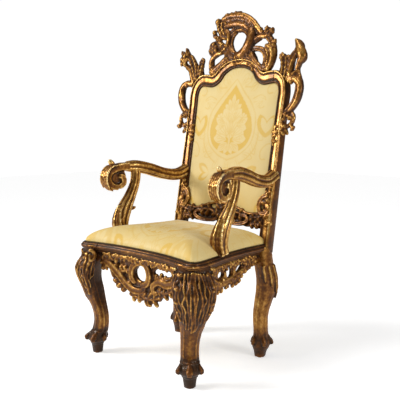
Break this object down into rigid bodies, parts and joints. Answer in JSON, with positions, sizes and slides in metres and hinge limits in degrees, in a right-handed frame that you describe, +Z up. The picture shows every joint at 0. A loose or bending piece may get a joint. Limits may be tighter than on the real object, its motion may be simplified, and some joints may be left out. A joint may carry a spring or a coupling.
{
  "type": "throne armchair",
  "caption": "Carved and gilded throne armchair with cabriole legs, scrolled arms, pierced aprons, a tall raked back with a pierced crest, and an upholstered seat and back.",
  "frame": {"origin": "on the floor at the middle of the throne's own width and depth", "axes": "+X to the right seen from the front, +Y to the back, +Z up"},
  "size_m": [0.7558, 0.7084, 1.4621],
  "materials": {
    "gilt_wood": "worn water gilding over dark brown wood, semi-gloss on the ridges",
    "damask": "pale yellow silk damask, soft sheen"
  },
  "bodies": {
    "root": {"front_rail": "gilt_wood", "rear_rail": "gilt_wood", "front_leg_left": "gilt_wood", "front_leg_right": "gilt_wood", "rear_post_left": "gilt_wood", "rear_post_right": "gilt_wood", "side_rail_left": "gilt_wood", "side_rail_right": "gilt_wood", "arm_left": "gilt_wood", "arm_right": "gilt_wood", "arm_support_left": "gilt_wood", "arm_support_right": "gilt_wood", "crest_rail": "gilt_wood", "lower_back_rail": "gilt_wood", "seat_pad": "damask", "back_panel": "damask"}
  },
  "joints": []
}
